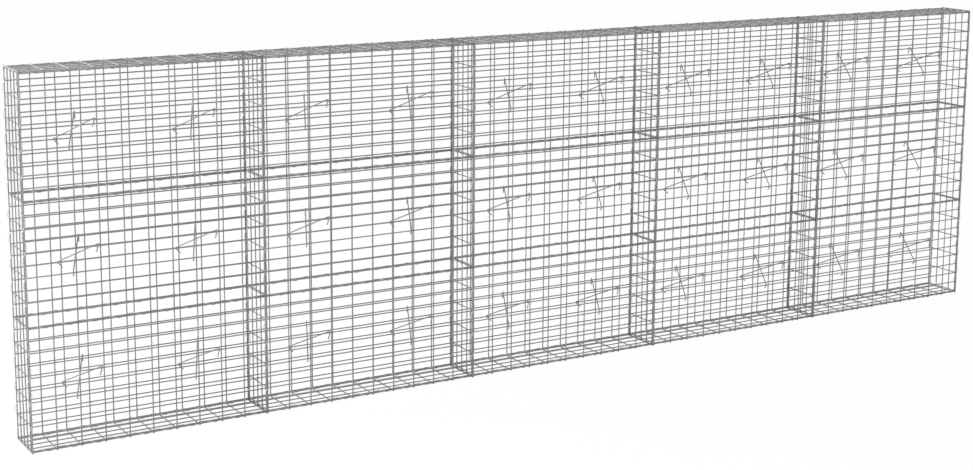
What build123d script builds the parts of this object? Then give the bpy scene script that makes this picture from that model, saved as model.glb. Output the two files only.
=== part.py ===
"""Gabion wall: welded mesh panels laced into bays with spiral binders and held apart by hooked ties."""
import os
from math import cos, hypot, radians, sin

from build123d import *

os.makedirs("parts", exist_ok=True)

# Driving dimensions in millimetres
bay_length = 1000
tier_height = 500
wall_depth = 200
mesh_wire = 4
spiral_wire = 2.5
tie_wire = 4

# How many bays, tiers and wires there are
bay_count = 5
tier_count = 3
face_columns = 11
face_rows = 11
cross_columns = 5
cross_rows = 6
deck_rows = 5
spiral_sides = 6
spare_sides = 2

# Clearances that let the panels be laced together and the ties be hooked in
seam_play = 0.1
cross_play = 0.2
tip_play = 0.2
tip_gap = 0.5
weld_line = 0.1
spiral_play = 0.5
upright_play = 0.6
shank_play = 0.65
high_hook_play = 0.6
low_hook_play = 0.88

# Hooked ties, two crossing ones at each place, with room between a hook and the upright beside it
tie_columns = (2, 7)
tie_low_row = 4
tie_high_row = 6
first_low_room = 10
first_high_room = 2.5
second_low_room = 11.5
second_high_room = 20.5
high_leg_drop = 34
high_leg_reach = 8
low_leg_drop = 18.5
low_leg_reach = 26
first_swing = -17.5
second_swing = 0

# Sizes that follow from them
half_wire = mesh_wire / 2
half_spiral = spiral_wire / 2
half_tie = tie_wire / 2
edge_inset = half_wire + seam_play
cross_inset = 2 * mesh_wire + cross_play
face_y = wall_depth / 2
rail_y = face_y - mesh_wire
column_pitch = (bay_length - 2 * edge_inset) / (face_columns - 1)
row_pitch = (tier_height - 2 * edge_inset) / (face_rows - 1)
cross_column_pitch = (wall_depth - 2 * cross_inset) / (cross_columns - 1)
cross_row_pitch = (tier_height - 2 * edge_inset) / (cross_rows - 1)
deck_pitch = 2 * rail_y / (deck_rows - 1)
base_z = mesh_wire + half_wire + edge_inset
wall_height = tier_height * tier_count
mid_z = base_z + wall_height / 2
upright_length = tier_height - tip_gap
rail_length = bay_length - 2 * tip_play
cross_length = wall_depth - 2 * cross_inset + mesh_wire
deck_length = 2 * (face_y + half_wire)
bay_centres = [(bay - (bay_count - 1) / 2) * bay_length for bay in range(bay_count)]
bay_lines = [(line - bay_count / 2) * bay_length for line in range(bay_count + 1)]
tier_bases = [base_z + tier * tier_height for tier in range(tier_count)]
half_turn = (0, 0, 180)

# Spirals: the flats of a turn clear the edge wires that it holds, and its centre lies between them
turn_angle = 360 / spiral_sides
flat_share = cos(radians(turn_angle / 2))
seam_spiral_radius = (edge_inset + half_wire + half_spiral + spiral_play) / flat_share
pair_reach = edge_inset + half_wire
cross_reach = cross_inset + half_wire
upright_spiral_set = (cross_reach**2 - pair_reach**2) / (2 * (cross_reach + half_wire))
upright_reach = hypot(pair_reach, half_wire + upright_spiral_set)
upright_spiral_radius = (upright_reach + half_spiral + upright_play) / flat_share
corner_set = edge_inset / 2
corner_depth_set = cross_inset / 2


def spiral_stations(pitch, sides_each_way):
    """Angle and travel of each corner of a spiral, counted both ways from its middle."""
    for side in range(-sides_each_way, sides_each_way + 1):
        yield radians(turn_angle * side), pitch * side / spiral_sides


def save(part, name):
    """Name a sub-part and write it as its own file."""
    part.label = name
    export_step(part, f"parts/{name}.step", write_pcurves=False)


# One bay of a long face: upright wires outside, level wires inside, a panel to each tier
upright_plane = Plane(origin=(0, half_wire - face_y, mid_z), x_dir=(1, 0, 0), z_dir=(0, -1, 0))
level_plane = Plane(origin=(0, half_wire - rail_y, mid_z), x_dir=(1, 0, 0), z_dir=(0, -1, 0))
with BuildPart() as face_bay:
    with BuildSketch(upright_plane):
        with GridLocations(column_pitch, tier_height, face_columns, tier_count):
            Rectangle(mesh_wire, upright_length)
    extrude(amount=mesh_wire)
    with BuildSketch(level_plane):
        with GridLocations(bay_length, tier_height, 1, tier_count):
            with GridLocations(bay_length, row_pitch, 1, face_rows):
                Rectangle(rail_length, mesh_wire)
    extrude(amount=mesh_wire)

for number, centre in enumerate(bay_centres, 1):
    with BuildPart() as front_mesh:
        with Locations((centre, 0, 0)):
            add(face_bay.part)
    save(front_mesh.part, f"front_mesh_{number}")
    with BuildPart() as rear_mesh:
        with Locations(Location((centre, 0, 0), half_turn)):
            add(face_bay.part)
    save(rear_mesh.part, f"rear_mesh_{number}")

# One cross panel stack: upright wires on the bay line, depth wires beside them
cross_upright_plane = Plane(origin=(-half_wire, 0, mid_z), x_dir=(0, 1, 0), z_dir=(1, 0, 0))
depth_plane = Plane(origin=(half_wire, 0, mid_z), x_dir=(0, 1, 0), z_dir=(1, 0, 0))
with BuildPart() as cross_stack:
    with BuildSketch(cross_upright_plane):
        with GridLocations(cross_column_pitch, tier_height, cross_columns, tier_count):
            Rectangle(mesh_wire, upright_length)
    extrude(amount=mesh_wire)
    with BuildSketch(depth_plane):
        with GridLocations(wall_depth, tier_height, 1, tier_count):
            with GridLocations(wall_depth, cross_row_pitch, 1, cross_rows):
                Rectangle(cross_length, mesh_wire)
    extrude(amount=mesh_wire)

with BuildPart() as left_end_mesh:
    with Locations((bay_lines[0], 0, 0)):
        add(cross_stack.part)
save(left_end_mesh.part, "left_end_mesh")

with BuildPart() as right_end_mesh:
    with Locations(Location((bay_lines[-1], 0, 0), half_turn)):
        add(cross_stack.part)
save(right_end_mesh.part, "right_end_mesh")

for number, line in enumerate(bay_lines[1:-1], 1):
    with BuildPart() as divider:
        with Locations((line, 0, 0)):
            add(cross_stack.part)
    save(divider.part, f"divider_{number}")

# Base panel of a bay, standing on its depth wires
with BuildPart() as base_bay:
    with BuildSketch(Plane.XY):
        with GridLocations(column_pitch, wall_depth, face_columns, 1):
            Rectangle(mesh_wire, deck_length)
    extrude(amount=mesh_wire)
    with BuildSketch(Plane.XY.offset(mesh_wire)):
        with GridLocations(bay_length, deck_pitch, 1, deck_rows):
            Rectangle(rail_length, mesh_wire)
    extrude(amount=mesh_wire)

# Cover panel: separate wires, the depth wires on top and a weld line away from the others
cover_low = base_z + wall_height + edge_inset - half_wire
with BuildPart() as cover_bay:
    with BuildSketch(Plane.XY.offset(cover_low)):
        with GridLocations(bay_length, deck_pitch, 1, deck_rows):
            Rectangle(rail_length, mesh_wire)
    extrude(amount=mesh_wire)
    with BuildSketch(Plane.XY.offset(cover_low + mesh_wire + weld_line)):
        with GridLocations(column_pitch, wall_depth, face_columns, 1):
            Rectangle(mesh_wire, deck_length)
    extrude(amount=mesh_wire)

for number, centre in enumerate(bay_centres, 1):
    with BuildPart() as base_mesh:
        with Locations((centre, 0, 0)):
            add(base_bay.part)
    save(base_mesh.part, f"base_mesh_{number}")
    with BuildPart() as cover_mesh:
        with Locations((centre, 0, 0)):
            add(cover_bay.part)
    save(cover_mesh.part, f"cover_mesh_{number}")

# Spiral for a level seam of one bay, passing inside at every upright wire
seam_sides = spiral_sides * (face_columns - 1) // 2 - spare_sides
with BuildPart() as seam_spiral:
    for angle, travel in spiral_stations(column_pitch, seam_sides):
        corner = (travel, seam_spiral_radius * cos(angle), seam_spiral_radius * sin(angle))
        with BuildSketch(Plane(origin=corner, x_dir=(0, 1, 0), z_dir=(1, 0, 0))):
            Rectangle(spiral_wire, spiral_wire)
    loft(ruled=True)

level_names = ["base"] + [f"seam_{seam}" for seam in range(1, tier_count)] + ["cover"]
for level, level_name in enumerate(level_names):
    level_z = base_z + level * tier_height
    with BuildPart() as front_spirals:
        with Locations(*[(centre, -rail_y, level_z) for centre in bay_centres]):
            add(seam_spiral.part)
    save(front_spirals.part, f"front_{level_name}_spirals")
    with BuildPart() as rear_spirals:
        with Locations(*[Location((centre, rail_y, level_z), half_turn) for centre in bay_centres]):
            add(seam_spiral.part)
    save(rear_spirals.part, f"rear_{level_name}_spirals")

# Spiral for an upright seam of one tier, outside at every wire of the cross panel
upright_sides = spiral_sides * (face_rows - 1) // 4 - spare_sides
with BuildPart() as upright_spiral:
    for angle, travel in spiral_stations(2 * row_pitch, upright_sides):
        corner = (-upright_spiral_radius * sin(angle), upright_spiral_radius * cos(angle), travel)
        with BuildSketch(Plane(origin=corner, x_dir=(1, 0, 0), z_dir=(0, 0, 1))):
            Rectangle(spiral_wire, spiral_wire)
    loft(ruled=True)

# Short spiral for the seam between two cross panels, clear of every upright wire
cross_sides = spiral_sides * (cross_columns - 1) // 2 - spare_sides
with BuildPart() as cross_spiral:
    for angle, travel in spiral_stations(cross_column_pitch, cross_sides):
        corner = (seam_spiral_radius * cos(angle), travel, -seam_spiral_radius * sin(angle))
        with BuildSketch(Plane(origin=corner, x_dir=(1, 0, 0), z_dir=(0, 1, 0))):
            Rectangle(spiral_wire, spiral_wire)
    loft(ruled=True)

# Both kinds on one cross panel, with the corner spirals of an end drawn in to its two wires
line_names = ["left_end"] + [f"divider_{line}" for line in range(1, bay_count)] + ["right_end"]
for line_x, line_name in zip(bay_lines, line_names):
    inward = (line_x < 0) - (line_x > 0)
    at_end = line_name.endswith("end")
    seam_x = line_x + inward * corner_set if at_end else line_x
    seam_y = face_y - (corner_depth_set if at_end else upright_spiral_set)
    depth_wire_x = line_x + (inward if at_end else 1) * mesh_wire
    depth_turn = half_turn if at_end and inward < 0 else (0, 0, 0)
    with BuildPart() as line_spirals:
        with Locations(*[(seam_x, -seam_y, low + tier_height / 2) for low in tier_bases]):
            add(upright_spiral.part)
        with Locations(*[Location((seam_x, seam_y, low + tier_height / 2), half_turn) for low in tier_bases]):
            add(upright_spiral.part)
        with Locations(*[Location((depth_wire_x, 0, low), depth_turn) for low in tier_bases[1:]]):
            add(cross_spiral.part)
    save(line_spirals.part, f"{line_name}_spirals")

# Hooked ties: each shank lies on a lower wire of one face and a higher wire of the other
low_z = edge_inset + tie_low_row * row_pitch
high_z = edge_inset + tie_high_row * row_pitch
inner_y = rail_y - half_wire
outer_y = rail_y + half_wire
slope_share = (high_z - low_z) / (inner_y + outer_y)
leg_slope_share = low_leg_drop / low_leg_reach
seat = half_wire + half_tie * hypot(1, slope_share) + shank_play
leg_seat = half_wire + (half_tie + low_hook_play) * hypot(1, leg_slope_share)
low_bend_reach = (seat + leg_seat) / (slope_share + leg_slope_share)
high_bend_reach = half_tie + high_hook_play
low_y = outer_y + low_bend_reach
high_y = outer_y + high_bend_reach
low_bend_z = low_z + seat - slope_share * low_bend_reach
high_bend_z = high_z + seat + slope_share * (high_y - inner_y)


def tie_route(low_x, high_x, low_face, swing):
    """Tip, lower bend, upper bend and tip of a tie whose lower end is on the face low_face."""
    drift_share = (high_x - low_x) / (low_y + high_y)
    low_tip_x = low_x + drift_share * low_leg_reach
    high_tip_x = high_x + drift_share * high_leg_reach + swing
    return [
        (low_tip_x, low_face * (low_y - low_leg_reach), low_bend_z - low_leg_drop),
        (low_x, low_face * low_y, low_bend_z),
        (high_x, -low_face * high_y, high_bend_z),
        (high_tip_x, -low_face * (high_y + high_leg_reach), high_bend_z - high_leg_drop),
    ]


beside = half_wire + half_tie
near_column = -beside
far_column = column_pitch - beside
first_route = tie_route(near_column - first_low_room, far_column - first_high_room, 1, first_swing)
second_route = tie_route(near_column - second_low_room, far_column - second_high_room, -1, second_swing)
with BuildPart() as first_tie:
    with BuildLine() as first_line:
        Polyline(*first_route)
    with BuildSketch(Plane(first_line.line ^ 0)):
        Rectangle(tie_wire, tie_wire)
    sweep(transition=Transition.RIGHT)
with BuildPart() as second_tie:
    with BuildLine() as second_line:
        Polyline(*second_route)
    with BuildSketch(Plane(second_line.line ^ 0)):
        Rectangle(tie_wire, tie_wire)
    sweep(transition=Transition.RIGHT)

middle_column = (face_columns - 1) / 2
for number, centre in enumerate(bay_centres, 1):
    places = [
        (centre + (column - middle_column) * column_pitch, 0, low)
        for column in tie_columns
        for low in tier_bases
    ]
    with BuildPart() as ties:
        with Locations(*places):
            add(first_tie.part)
            add(second_tie.part)
    save(ties.part, f"ties_{number}")
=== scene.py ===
# %% [markdown]
# A gabion wall is a long, narrow basket of welded wire, five bays long and three panels high.
# The photograph shows it empty, so every wire can be seen, and the wire is what this lesson makes.
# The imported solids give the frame: each new piece takes its place from the box of a solid.

# %% Load the frame
from math import cos, hypot, pi, radians, sin, tan, tau

import bmesh
import bpy
from mathutils import Matrix, Vector


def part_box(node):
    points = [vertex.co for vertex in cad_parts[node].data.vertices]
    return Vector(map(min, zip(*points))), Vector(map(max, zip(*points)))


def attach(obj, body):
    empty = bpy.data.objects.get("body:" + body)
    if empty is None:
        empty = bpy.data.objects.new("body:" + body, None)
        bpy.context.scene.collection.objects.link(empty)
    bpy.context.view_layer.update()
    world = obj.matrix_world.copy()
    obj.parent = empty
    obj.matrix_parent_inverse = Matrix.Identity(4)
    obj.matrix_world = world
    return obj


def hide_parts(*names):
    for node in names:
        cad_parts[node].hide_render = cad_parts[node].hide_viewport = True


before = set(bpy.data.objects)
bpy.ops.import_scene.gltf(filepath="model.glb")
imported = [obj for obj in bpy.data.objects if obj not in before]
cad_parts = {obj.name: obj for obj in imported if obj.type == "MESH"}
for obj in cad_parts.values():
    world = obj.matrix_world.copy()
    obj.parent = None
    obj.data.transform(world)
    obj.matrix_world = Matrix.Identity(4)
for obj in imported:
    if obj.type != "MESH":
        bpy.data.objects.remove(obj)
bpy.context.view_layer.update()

# %% [markdown]
# All the wires are drawn steel with a zinc coat. Drawn wire is round, with its ends sheared off
# and a little rounded by the zinc. The solids have square bars, because those fuse well, so here
# each bar becomes a round wire on almost the same line. A round wire as thick as the side of the
# bar would look thinner than the bar does, so its width lies between the side and the diagonal.

# %% Size of the mesh wire, in metres
MESH_RADIUS = 0.0027
MESH_SIDES = 10
TIP_ROUNDING = 0.0006
print("mesh wire", 2 * MESH_RADIUS, "thick")


# %% [markdown]
# One wire could be a curve with a bevel, but a cylinder from create_cone is lighter, and its two
# rims can be bevelled as the zinc rounds a sheared end. The cylinder is made along Z and turned
# to its own direction by the matrix.

# %% A straight wire
def facing(direction):
    """The turn that takes Z to a direction."""
    return direction.to_track_quat("Z", "Y").to_matrix().to_4x4()


def add_wire(bm, start, end):
    """Add a round mesh wire from start to end, with rounded rims, to a bmesh."""
    run = end - start
    made = bmesh.ops.create_cone(
        bm, cap_ends=True, cap_tris=False, segments=MESH_SIDES,
        radius1=MESH_RADIUS, radius2=MESH_RADIUS, depth=run.length,
        matrix=Matrix.Translation((start + end) / 2) @ facing(run),
    )
    faces = {face for vert in made["verts"] for face in vert.link_faces}
    rims = [edge for face in faces if len(face.verts) == MESH_SIDES for edge in face.edges]
    bmesh.ops.bevel(
        bm, geom=rims, offset=TIP_ROUNDING, offset_type="OFFSET", segments=1,
        profile=0.5, affect="EDGES", material=-1,
    )


# %% [markdown]
# Where two wires of a mesh cross they are pressed together hot, so each sinks a little into the
# other and a bead of steel and zinc fills the corner. A flattened ball at each crossing is enough
# for the bead. It repeats thousands of times, so it is an icosphere of twenty faces.

# %% A weld bead
BEAD_RADIUS = MESH_RADIUS * 1.15
BEAD_FLATNESS = 0.72


def add_bead(bm, centre, normal):
    """Add a weld bead at a crossing, flat along the normal of the panel."""
    squash = Matrix.Diagonal((1.0, 1.0, BEAD_FLATNESS, 1.0))
    place = Matrix.Translation(centre) @ facing(normal) @ squash
    bmesh.ops.create_icosphere(bm, subdivisions=1, radius=BEAD_RADIUS, matrix=place)


# %% [markdown]
# A welded panel is two layers of wire. Wires of one layer lie side by side, and those of the other
# cross them on top. One function takes the places of both layers, so the same lines make the long
# faces, the narrow cross panels and the flat base and cover panels. A finished mesh is shaded
# smooth along its wires and over their rounded rims, and only steeper edges stay sharp, such as
# the plain cut ends of the spirals and ties that come later.

# %% A welded panel
SHARP_ANGLE = radians(50)


def spread(low, high, count):
    """Evenly spaced values from low to high."""
    return [low + (high - low) * step / (count - 1) for step in range(count)]


def add_panel(
    bm, uprights, rails, upright_span, rail_span, along, rail_along, normal, origin, sink,
):
    """Add uprights and rails to a bmesh. Rails lie behind the uprights, sunk into them by sink."""
    behind = normal * (2 * MESH_RADIUS - sink)
    for place in uprights:
        foot = origin + rail_along * place
        add_wire(bm, foot + along * upright_span[0], foot + along * upright_span[1])
    for place in rails:
        foot = origin + along * place + behind
        add_wire(bm, foot + rail_along * rail_span[0], foot + rail_along * rail_span[1])
    for column in uprights:
        for row in rails:
            add_bead(bm, origin + rail_along * column + along * row + behind / 2, normal)


def finish_mesh(bm, name):
    """Turn a bmesh into a mesh with smooth long sides."""
    mesh = bpy.data.meshes.new(name)
    bm.to_mesh(mesh)
    bm.free()
    mesh.shade_smooth()
    mesh.set_sharp_from_angle(angle=SHARP_ANGLE)
    print(name, len(mesh.polygons), "faces")
    return mesh


# %% [markdown]
# The seams follow the solids: the edge wires of two panels stand side by side on the line where
# the panels meet, and the wire tips reach almost to that line. All these places are worked out
# from the wire and the boxes of the solids, so a thicker wire never runs into its neighbour.

# %% Places that the panels share
BAYS, TIERS = 5, 3
BAY_LENGTH, TIER_HEIGHT = 1.0, 0.5
WELD_SINK = 0.001
SEAM_PLAY = 0.00005
TIP_GAP = 0.00025
EDGE_INSET = MESH_RADIUS + SEAM_PLAY
TIP_LENGTH = EDGE_INSET - TIP_GAP
CROSS_INSET = 4 * MESH_RADIUS - WELD_SINK + 2 * SEAM_PLAY

front_low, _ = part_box("front_mesh_3")
_, rear_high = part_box("rear_mesh_3")
base_low, base_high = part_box("base_mesh_3")
_, cover_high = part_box("cover_mesh_3")
FACE_Y = rear_high.y - MESH_RADIUS
LACING_Y = FACE_Y - 2 * MESH_RADIUS
BASE_Z = front_low.z - TIP_GAP
half_bay = BAY_LENGTH / 2 - EDGE_INSET
half_cross = FACE_Y - CROSS_INSET
bay_centres = [(bay - (BAYS - 1) / 2) * BAY_LENGTH for bay in range(BAYS)]
bay_lines = [(line - BAYS / 2) * BAY_LENGTH for line in range(BAYS + 1)]
tier_bases = [BASE_Z + tier * TIER_HEIGHT for tier in range(TIERS)]
print("face plane", round(FACE_Y, 4), "first seam", round(BASE_Z, 4))

# %% [markdown]
# Each long face has its uprights outside. A bay holds one panel to each tier, and all five bays
# are alike, so one bay is made and the others are moved copies. The rear is the front turned round.

# %% One bay of a long face
FACE_COLUMNS, FACE_ROWS = 11, 11
X, Y, Z = Vector((1, 0, 0)), Vector((0, 1, 0)), Vector((0, 0, 1))

face_columns = spread(-half_bay, half_bay, FACE_COLUMNS)
long_reach = half_bay + TIP_LENGTH
bm = bmesh.new()
for low in tier_bases:
    top = low + TIER_HEIGHT
    add_panel(
        bm, face_columns, spread(low + EDGE_INSET, top - EDGE_INSET, FACE_ROWS),
        (low + TIP_GAP, top - TIP_GAP), (-long_reach, long_reach),
        Z, X, Y, -Y * FACE_Y, WELD_SINK,
    )
face_bay = finish_mesh(bm, "face bay")

# %% [markdown]
# The two ends and the four dividers are narrow panels that stand across the wall, one to each tier.
# They could be cut from the face panel, but their level wires are twice as far apart, so they have
# rows of their own. They fit between the two faces, and one stack of three serves at every line.

# %% One stack of cross panels
CROSS_COLUMNS, CROSS_ROWS = 5, 6

cross_columns = spread(-half_cross, half_cross, CROSS_COLUMNS)
cross_reach = half_cross + MESH_RADIUS
bm = bmesh.new()
for low in tier_bases:
    top = low + TIER_HEIGHT
    add_panel(
        bm, cross_columns, spread(low + EDGE_INSET, top - EDGE_INSET, CROSS_ROWS),
        (low + TIP_GAP, top - TIP_GAP), (-cross_reach, cross_reach),
        Z, Y, X, Vector(), WELD_SINK,
    )
cross_stack = finish_mesh(bm, "cross stack")

# %% [markdown]
# The base panel stands on its depth wires, with the lengthwise wires welded on top of them. Its
# welds are pressed deeper than those of the faces, so that its top is level with the foot of the
# faces and their lowest wires rest on it. The cover is the same panel upside down.

# %% One base panel
DECK_ROWS = 5

deck_sink = 4 * MESH_RADIUS - BASE_Z
bm = bmesh.new()
add_panel(
    bm, face_columns, spread(-LACING_Y, LACING_Y, DECK_ROWS),
    (base_low.y, base_high.y), (-long_reach, long_reach),
    Y, X, Z, Z * MESH_RADIUS, deck_sink,
)
base_bay = finish_mesh(bm, "base bay")

# %% [markdown]
# Hot-dip zinc is a soft, slightly blue grey with a faint pattern of crystals, and it dulls in
# patches. Two noises do this: a fine one for the crystals and a broad one for the dull patches.
# Both read Object coordinates, which are metres here, so the pattern stays on the wire.

# %% A zinc finish
METALLIC = 0.2
CRYSTAL_SCALE, CRYSTAL_DETAIL, CRYSTAL_SHARE = 260.0, 2.0, 0.45
PATCH_SCALE, PATCH_DETAIL = 3.5, 3.0
TONE_START, TONE_END = 0.5, 0.95
SHINIER, DULLER = 0.08, 0.1


def zinc(name, dark, light, roughness):
    """A satin zinc coat between two greys."""
    material = bpy.data.materials.new(name)
    material.use_nodes = True
    nodes, links = material.node_tree.nodes, material.node_tree.links
    shader = nodes["Principled BSDF"]
    shader.inputs["Metallic"].default_value = METALLIC
    place = nodes.new("ShaderNodeTexCoord")
    crystals = nodes.new("ShaderNodeTexNoise")
    crystals.inputs["Scale"].default_value = CRYSTAL_SCALE
    crystals.inputs["Detail"].default_value = CRYSTAL_DETAIL
    patches = nodes.new("ShaderNodeTexNoise")
    patches.inputs["Scale"].default_value = PATCH_SCALE
    patches.inputs["Detail"].default_value = PATCH_DETAIL
    both = nodes.new("ShaderNodeMath")
    both.operation = "MULTIPLY_ADD"
    both.inputs[1].default_value = CRYSTAL_SHARE
    tone = nodes.new("ShaderNodeValToRGB")
    first, last = tone.color_ramp.elements
    first.position, first.color = TONE_START, (*dark, 1)
    last.position, last.color = TONE_END, (*light, 1)
    sheen = nodes.new("ShaderNodeMapRange")
    sheen.inputs["To Min"].default_value = roughness - SHINIER
    sheen.inputs["To Max"].default_value = roughness + DULLER
    for noise in (crystals, patches):
        links.new(place.outputs["Object"], noise.inputs["Vector"])
    links.new(crystals.outputs["Fac"], both.inputs[0])
    links.new(patches.outputs["Fac"], both.inputs[2])
    links.new(both.outputs["Value"], tone.inputs["Fac"])
    links.new(tone.outputs["Color"], shader.inputs["Base Color"])
    links.new(patches.outputs["Fac"], sheen.inputs["Value"])
    links.new(sheen.outputs["Result"], shader.inputs["Roughness"])
    print("finish", name)
    return material


# %% [markdown]
# A wall is put up from a stack of equal panels, and the scene does the same: one mesh is copied,
# taken to its bay and turned where it faces the other way. The move goes into the mesh and not
# into the object, so every piece keeps the origin of the frame.

# %% Put a copy of a mesh in place of a solid
def stand_in(template, name, node, place, material):
    """Place a copy of a template and let it stand for a node of the frame."""
    mesh = template.copy()
    mesh.name = name
    mesh.transform(place)
    mesh.materials.append(material)
    piece = bpy.data.objects.new(name, mesh)
    bpy.context.scene.collection.objects.link(piece)
    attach(piece, "root")
    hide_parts(node)


# %% [markdown]
# The panels now go to their places: faces, base and cover to each bay, and the cross panels to the
# lines between bays. The right end is the left end turned round, so both have their rails inside.

# %% Stand the panels
MESH_DARK, MESH_LIGHT = (0.25, 0.255, 0.255), (0.32, 0.325, 0.325)
MESH_ROUGHNESS = 0.55

mesh_zinc = zinc("mesh zinc", MESH_DARK, MESH_LIGHT, MESH_ROUGHNESS)


def stand_panel(template, name, node, place):
    """Place a panel with the finish of the mesh wire."""
    stand_in(template, name, node, place, mesh_zinc)


about_z = Matrix.Rotation(pi, 4, "Z")
about_x = Matrix.Rotation(pi, 4, "X")
cover_lift = Z * (cover_high.z + base_low.z)
for number, centre in enumerate(bay_centres, 1):
    at_bay = Matrix.Translation(X * centre)
    lid = Matrix.Translation(X * centre + cover_lift) @ about_x
    stand_panel(face_bay, f"front_panel_{number}", f"front_mesh_{number}", at_bay)
    stand_panel(face_bay, f"rear_panel_{number}", f"rear_mesh_{number}", at_bay @ about_z)
    stand_panel(base_bay, f"base_panel_{number}", f"base_mesh_{number}", at_bay)
    stand_panel(base_bay, f"cover_panel_{number}", f"cover_mesh_{number}", lid)
left_line = Matrix.Translation(X * bay_lines[0])
right_line = Matrix.Translation(X * bay_lines[-1]) @ about_z
stand_panel(cross_stack, "left_end_panel", "left_end_mesh", left_line)
stand_panel(cross_stack, "right_end_panel", "right_end_mesh", right_line)
for number, line in enumerate(bay_lines[1:-1], 1):
    at_line = Matrix.Translation(X * line)
    stand_panel(cross_stack, f"divider_panel_{number}", f"divider_{number}", at_line)

# %% [markdown]
# A spiral binder is screwed in from one end of a seam, round the edge wires of the panels that
# meet there. It passes inside at every upright, so its pitch is the mesh of the panel. A circle
# spun about the axis of the seam while it travels along it, as a screw does, gives the coil.

# %% A spiral binder
SPIRAL_RADIUS = 0.0011
SPIRAL_SIDES = 8
TURN_STEPS = 16


def edges_of(parts):
    """The edges among the parts that an operator returns."""
    return [part for part in parts if isinstance(part, bmesh.types.BMEdge)]


def add_rim(bm, sides, radius, place):
    """Add an open circle, the rim of a wire, and return its edges."""
    made = bmesh.ops.create_circle(
        bm, cap_ends=False, segments=sides, radius=radius, matrix=place,
    )
    return list({edge for vert in made["verts"] for edge in vert.link_edges})


def spiral_mesh(name, coil_radius, pitch, half_turns):
    """A coil round the Z axis, on the +X side at its middle, with its middle at the origin."""
    bm = bmesh.new()
    steps = round(2 * half_turns * TURN_STEPS)
    turn = tau * steps / TURN_STEPS
    tangent = Vector((0, tau * coil_radius, pitch)).normalized()
    start = Matrix.Translation(X * coil_radius) @ facing(tangent)
    back = Matrix.Translation(Z * (-pitch * turn / tau / 2)) @ Matrix.Rotation(-turn / 2, 4, "Z")
    rim = add_rim(bm, SPIRAL_SIDES, SPIRAL_RADIUS, back @ start)
    bmesh.ops.contextual_create(bm, geom=rim)
    spun = bmesh.ops.spin(
        bm, geom=rim, cent=(0, 0, 0), axis=Z, dvec=Z * (pitch / TURN_STEPS),
        angle=turn, steps=steps, use_duplicate=False,
    )
    bmesh.ops.contextual_create(bm, geom=edges_of(spun["geom_last"]))
    bmesh.ops.recalc_face_normals(bm, faces=bm.faces)
    return finish_mesh(bm, name)


# %% [markdown]
# Four coils serve the whole wall. In a level seam one edge wire lies on the other, at a corner two
# uprights stand diagonally beside each other, and at a divider three meet: one from each of the
# neighbouring panels and one from the divider. Each coil is centred on its wires and just wide
# enough to hold them.

# %% The four coils
SPARE_TURN = 0.33
SPIRAL_PLAY = 0.0002
DIVIDER_SET = (CROSS_INSET ** 2 - EDGE_INSET ** 2) / (2 * CROSS_INSET)
CORNER_SET, CORNER_DEPTH_SET = EDGE_INSET / 2, CROSS_INSET / 2

column_pitch = 2 * half_bay / (FACE_COLUMNS - 1)
row_pitch = (TIER_HEIGHT - 2 * EDGE_INSET) / (FACE_ROWS - 1)
cross_pitch = 2 * half_cross / (CROSS_COLUMNS - 1)
coil_room = MESH_RADIUS + SPIRAL_RADIUS + SPIRAL_PLAY / 2
seam_coil = EDGE_INSET + MESH_RADIUS + SPIRAL_RADIUS + SPIRAL_PLAY
divider_coil = CROSS_INSET - DIVIDER_SET + coil_room
corner_coil = hypot(CORNER_SET, CORNER_DEPTH_SET) + coil_room
long_turns = (FACE_COLUMNS - 1) / 2 - SPARE_TURN
upright_turns = (FACE_ROWS - 1) / 4 - SPARE_TURN
short_turns = (CROSS_COLUMNS - 1) / 2 - SPARE_TURN
seam_spiral = spiral_mesh("seam spiral", seam_coil, column_pitch, long_turns)
divider_spiral = spiral_mesh("divider spiral", divider_coil, 2 * row_pitch, upright_turns)
corner_spiral = spiral_mesh("corner spiral", corner_coil, 2 * row_pitch, upright_turns)
cross_spiral = spiral_mesh("cross spiral", seam_coil, cross_pitch, short_turns)


# %% [markdown]
# The coil is made upright, so it is turned to lie along a seam. On the front it starts from the
# side that faces into the wall, and the rear takes the same coil turned half round, because every
# binder of the wall is wound the same way.

# %% Lay the spirals in their level seams
SPIRAL_DARK, SPIRAL_LIGHT = (0.6, 0.605, 0.605), (0.7, 0.705, 0.705)
SPIRAL_ROUGHNESS = 0.5

spiral_zinc = zinc("spiral zinc", SPIRAL_DARK, SPIRAL_LIGHT, SPIRAL_ROUGHNESS)


def laid(*columns):
    """The turn that takes the X, Y and Z of a coil to these directions."""
    return Matrix(columns).transposed().to_4x4()


def gathered(name, *groups):
    """One mesh with a copy of each template at each of its places."""
    bm = bmesh.new()
    for template, places in groups:
        for place in places:
            count = len(bm.verts)
            bm.from_mesh(template)
            bm.verts.ensure_lookup_table()
            bmesh.ops.transform(bm, matrix=place, verts=bm.verts[count:])
    return finish_mesh(bm, name)


along_wall = laid(Y, Z, X)
here = Matrix.Identity(4)
level_names = ["base"] + [f"seam_{seam}" for seam in range(1, TIERS)] + ["cover"]
for seam, level_name in enumerate(level_names):
    height = BASE_Z + seam * TIER_HEIGHT
    seats = [Matrix.Translation((centre, -LACING_Y, height)) for centre in bay_centres]
    front_places = [seat @ along_wall for seat in seats]
    rear_places = [about_z @ seat @ along_wall for seat in seats]
    for side, places in (("front", front_places), ("rear", rear_places)):
        name = f"{side}_{level_name}_coils"
        coils = gathered(name, (seam_spiral, places))
        node = f"{side}_{level_name}_spirals"
        stand_in(coils, name, node, here, spiral_zinc)

# %% [markdown]
# Upright coils lace the corners and the divider lines, one to each tier at the front and at the
# rear. Short ones lie through the wall in the two seams between the tiers of a cross panel.

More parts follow.
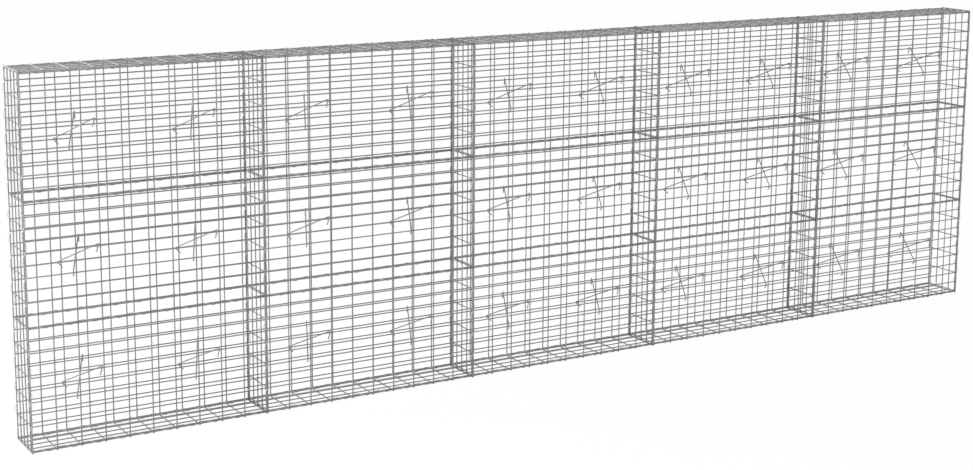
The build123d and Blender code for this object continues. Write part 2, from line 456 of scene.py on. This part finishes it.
# %% Upright and short spirals
up_front = laid(Y, -X, Z)
through_wall = laid(X, -Z, Y)
middles = [low + TIER_HEIGHT / 2 for low in tier_bases]
line_names = ["left_end"] + [f"divider_{line}" for line in range(1, BAYS)] + ["right_end"]
for line, line_name in zip(bay_lines, line_names):
    at_end = line_name.endswith("end")
    inward = -1 if at_end and line > 0 else 1
    seam_x = line + inward * CORNER_SET if at_end else line
    seam_y = FACE_Y - (CORNER_DEPTH_SET if at_end else DIVIDER_SET)
    coil = corner_spiral if at_end else divider_spiral
    places = [Matrix.Translation((seam_x, -seam_y, height)) @ up_front for height in middles]
    for height in middles:
        places.append(Matrix.Translation((seam_x, seam_y, height)) @ about_z @ up_front)
    turned = (about_z if inward < 0 else here) @ through_wall
    rail_x = line + inward * (2 * MESH_RADIUS - WELD_SINK)
    short_places = [Matrix.Translation((rail_x, 0, low)) @ turned for low in tier_bases[1:]]
    name = f"{line_name}_coils"
    coils = gathered(name, (coil, places), (cross_spiral, short_places))
    stand_in(coils, name, f"{line_name}_spirals", here, spiral_zinc)

# %% [markdown]
# A tie is one wire with a hook bent at each end. Its shank lies on a low wire of one face and on
# a wire two rows higher of the other, and the hooks close round those wires from outside. It is
# made as a wire bender makes it: push the wire straight on, turn it about a pin, push it on.

# %% A bent wire
TIE_RADIUS = 0.0026
TIE_BEND = 0.004
TIE_SIDES = 8
BEND_STEPS = 6


def push(bm, rim, travel):
    """Extrude the rim of a wire straight on and return the new rim."""
    grown = bmesh.ops.extrude_edge_only(bm, edges=rim)["geom"]
    verts = [part for part in grown if isinstance(part, bmesh.types.BMVert)]
    bmesh.ops.translate(bm, vec=travel, verts=verts)
    kept = set(verts)
    return [edge for edge in edges_of(grown) if kept.issuperset(edge.verts)]


def add_bent_wire(bm, corners):
    """Add a round tie wire through corners, bent at each one between its tips."""
    headings = [(after - before).normalized() for before, after in zip(corners, corners[1:])]
    at = corners[0]
    rim = add_rim(bm, TIE_SIDES, TIE_RADIUS, Matrix.Translation(at) @ facing(headings[0]))
    bmesh.ops.edgeloop_fill(bm, edges=rim)
    for corner, before, after in zip(corners[1:-1], headings, headings[1:]):
        bend = before.angle(after)
        setback = TIE_BEND * tan(bend / 2)
        bend_start = corner - before * setback
        rim = push(bm, rim, bend_start - at)
        inside = (after - before * before.dot(after)).normalized()
        spun = bmesh.ops.spin(
            bm, geom=rim, cent=bend_start + inside * TIE_BEND,
            axis=before.cross(after).normalized(), angle=bend, steps=BEND_STEPS,
            use_duplicate=False,
        )
        rim = edges_of(spun["geom_last"])
        at = corner + after * setback
    rim = push(bm, rim, corners[-1] - at)
    bmesh.ops.edgeloop_fill(bm, edges=rim)


# %% [markdown]
# Two ties cross in plan at each place. The first has its low hook on the rear face and the second
# on the front face, and their hooks stand at slightly different distances from the upright beside
# them, so that one shank passes over the other. A low hook turns back under its shank. A high hook
# hangs down outside, and that of the first tie swings to one side as it falls.

# %% One pair of ties
LOW_ROW, HIGH_ROW = 4, 6
FIRST_SETS = (0.014, 0.0065)
SECOND_SETS = (0.0155, 0.0245)
FIRST_SWING, SECOND_SWING = -0.0175, 0.0
LOW_BEND_REACH = 0.0075
HIGH_BEND_REACH = 0.0026
LOW_LEG = (0.026, 0.0185)
HIGH_LEG = (0.0075, 0.034)

rail_y = FACE_Y - 2 * MESH_RADIUS + WELD_SINK
outer_y = rail_y + MESH_RADIUS
low_y, high_y = outer_y + LOW_BEND_REACH, outer_y + HIGH_BEND_REACH
low_row_z, high_row_z = EDGE_INSET + LOW_ROW * row_pitch, EDGE_INSET + HIGH_ROW * row_pitch
slope = (high_row_z - low_row_z) / (2 * rail_y)
lift = (TIE_RADIUS + MESH_RADIUS) * hypot(1, slope)
low_bend_z = low_row_z + lift - slope * (low_y - rail_y)
high_bend_z = high_row_z + lift + slope * (high_y - rail_y)


def tie_corners(low_set, high_set, low_face, swing):
    """Tip, bends and tip of a tie whose low hook is on the face at low_face."""
    low_x, high_x = -low_set, column_pitch - high_set
    drift = (high_x - low_x) / (low_y + high_y)
    low_reach, low_drop = LOW_LEG
    high_reach, high_drop = HIGH_LEG
    tip_x = high_x + drift * high_reach + swing
    return [
        Vector((low_x + drift * low_reach, low_face * (low_y - low_reach), low_bend_z - low_drop)),
        Vector((low_x, low_face * low_y, low_bend_z)),
        Vector((high_x, -low_face * high_y, high_bend_z)),
        Vector((tip_x, -low_face * (high_y + high_reach), high_bend_z - high_drop)),
    ]


bm = bmesh.new()
add_bent_wire(bm, tie_corners(*FIRST_SETS, 1, FIRST_SWING))
add_bent_wire(bm, tie_corners(*SECOND_SETS, -1, SECOND_SWING))
bmesh.ops.recalc_face_normals(bm, faces=bm.faces)
tie_pair = finish_mesh(bm, "tie pair")

# %% [markdown]
# A pair hangs beside the third and the eighth upright of every panel. The pairs are all alike, so
# copies of one mesh are gathered into one piece to a bay.

# %% Hang the ties
TIE_COLUMNS = (2, 7)
TIE_DARK, TIE_LIGHT = (0.23, 0.233, 0.233), (0.3, 0.303, 0.303)
TIE_ROUGHNESS = 0.5

tie_zinc = zinc("tie zinc", TIE_DARK, TIE_LIGHT, TIE_ROUGHNESS)
for number, centre in enumerate(bay_centres, 1):
    places = [
        Matrix.Translation((centre - half_bay + column * column_pitch, 0, low))
        for column in TIE_COLUMNS for low in tier_bases
    ]
    name = f"hooked_ties_{number}"
    ties = gathered(name, (tie_pair, places))
    stand_in(ties, name, f"ties_{number}", here, tie_zinc)

# %% [markdown]
# The photograph has a plain white ground with hardly a shadow. A wide floor that is just white in
# this light gives that. If it were brighter than white, it would eat into the thin wires, because
# a pixel that is half wire and half floor would still come out white. So most of the floor's white
# is a glow that only the eye, mirrors and glass see, and the rest takes light and shadow.

# %% Floor
FLOOR_REACH = 60
FLOOR_WHITE = 1.0
FLOOR_GLOW = 0.92
GLOW_STRENGTH = 1.03


def seen_rays(nodes, links):
    """A socket that is 1 for rays that show the ground to the eye, in a mirror or through glass."""
    rays = nodes.new("ShaderNodeLightPath")
    either = nodes.new("ShaderNodeMath")
    either.operation = "MAXIMUM"
    any_of = nodes.new("ShaderNodeMath")
    any_of.operation = "MAXIMUM"
    links.new(rays.outputs["Is Camera Ray"], either.inputs[0])
    links.new(rays.outputs["Is Glossy Ray"], either.inputs[1])
    links.new(either.outputs["Value"], any_of.inputs[0])
    links.new(rays.outputs["Is Transmission Ray"], any_of.inputs[1])
    return any_of.outputs["Value"]


bm = bmesh.new()
bmesh.ops.create_grid(bm, x_segments=1, y_segments=1, size=FLOOR_REACH)
floor_mesh = bpy.data.meshes.new("floor")
bm.to_mesh(floor_mesh)
bm.free()
floor_white = bpy.data.materials.new("floor white")
floor_white.use_nodes = True
nodes, links = floor_white.node_tree.nodes, floor_white.node_tree.links
matt = nodes["Principled BSDF"]
matt.inputs["Base Color"].default_value = (FLOOR_WHITE, FLOOR_WHITE, FLOOR_WHITE, 1)
matt.inputs["Roughness"].default_value = 1.0
matt.inputs["Specular IOR Level"].default_value = 0.0
glow = nodes.new("ShaderNodeEmission")
glow.inputs["Strength"].default_value = GLOW_STRENGTH
share = nodes.new("ShaderNodeMath")
share.operation = "MULTIPLY"
share.inputs[1].default_value = FLOOR_GLOW
blend = nodes.new("ShaderNodeMixShader")
links.new(seen_rays(nodes, links), share.inputs[0])
links.new(share.outputs["Value"], blend.inputs["Fac"])
links.new(matt.outputs["BSDF"], blend.inputs[1])
links.new(glow.outputs["Emission"], blend.inputs[2])
links.new(blend.outputs["Shader"], nodes["Material Output"].inputs["Surface"])
floor_mesh.materials.append(floor_white)
floor = bpy.data.objects.new("floor", floor_mesh)
bpy.context.scene.collection.objects.link(floor)
print("floor", 2 * FLOOR_REACH, "m wide")

# %% [markdown]
# Behind the floor the same white goes on. The world lights less than it shows, so that the lamps
# can shape the wires.

# %% World
WORLD_LIGHT = 0.4

world = bpy.data.worlds.new("studio")
bpy.context.scene.world = world
world.use_nodes = True
nodes, links = world.node_tree.nodes, world.node_tree.links
sky = nodes["Background"]
sky.inputs["Color"].default_value = (1, 1, 1, 1)
strength = nodes.new("ShaderNodeMapRange")
strength.inputs["To Min"].default_value = WORLD_LIGHT
strength.inputs["To Max"].default_value = 1.0
links.new(seen_rays(nodes, links), strength.inputs["Value"])
links.new(strength.outputs["Result"], sky.inputs["Strength"])
print("world light", WORLD_LIGHT)

# %% [markdown]
# In the photograph the wires that run through the wall are the brightest, the uprights are between
# and the long level wires are the darkest. Light from the left and a little behind does that: it
# meets the wires that run through the wall square on, grazes the uprights and runs along the rails.
# The difference is strong at the near end and fades along the wall, so that light comes from a
# round lamp near the left end. A faint sun from in front fills the seams and the divider lines,
# where wires stand so close together that they would shade each other.

# %% Lamps
SUN_FROM = Vector((-0.5, -0.8, 0.4))
SUN_STRENGTH = 1.0
SUN_SPREAD = radians(12)
SIDE_PLACE = Vector((-5.5, 2.4, 2.3))
SIDE_AIM = Vector((-2.5, 0, 0.8))
SIDE_WATTS = 260.0
SIDE_SIZE = 1.5


def hang_lamp(lamp, place, towards):
    """Put a lamp at a place and turn it towards a direction."""
    holder = bpy.data.objects.new(lamp.name, lamp)
    holder.location = place
    holder.rotation_euler = towards.to_track_quat("-Z", "Y").to_euler()
    bpy.context.scene.collection.objects.link(holder)
    print(lamp.name, lamp.energy)


sun = bpy.data.lights.new("front sun", "SUN")
sun.energy = SUN_STRENGTH
sun.angle = SUN_SPREAD
hang_lamp(sun, Vector(), -SUN_FROM)
side_lamp = bpy.data.lights.new("side lamp", "AREA")
side_lamp.energy = SIDE_WATTS
side_lamp.shape = "DISK"
side_lamp.size = SIDE_SIZE
hang_lamp(side_lamp, SIDE_PLACE, SIDE_AIM - SIDE_PLACE)

# %% [markdown]
# The camera stands in front of the wall and to the left of its near end, a little above the top.
# The photograph keeps uprights almost upright, so the lens is shifted down a little as well as
# tilted.

# %% Camera
IMAGE_WIDTH = 973
FOCAL_PIXELS = 1748
SENSOR_WIDTH = 36
CAMERA_PLACE = Vector((-4.33, -6.622, 2.412))
YAW, PITCH, ROLL = 0.5382, -0.167, 0.0064
LENS_SHIFT = -0.11

forward = Vector((sin(YAW) * cos(PITCH), cos(YAW) * cos(PITCH), sin(PITCH)))
level = Vector((cos(YAW), -sin(YAW), 0))
over = level.cross(forward)
right = level * cos(ROLL) + over * sin(ROLL)
up = over * cos(ROLL) - level * sin(ROLL)
lens = bpy.data.cameras.new("camera")
lens.sensor_width = SENSOR_WIDTH
lens.sensor_fit = "HORIZONTAL"
lens.lens = FOCAL_PIXELS * SENSOR_WIDTH / IMAGE_WIDTH
lens.shift_y = LENS_SHIFT
camera = bpy.data.objects.new("camera", lens)
camera.matrix_world = Matrix.Translation(CAMERA_PLACE) @ laid(right, up, -forward)
bpy.context.scene.collection.objects.link(camera)
bpy.context.scene.camera = camera
bpy.context.scene.view_settings.view_transform = "Standard"
print("lens", round(lens.lens, 1), "mm")
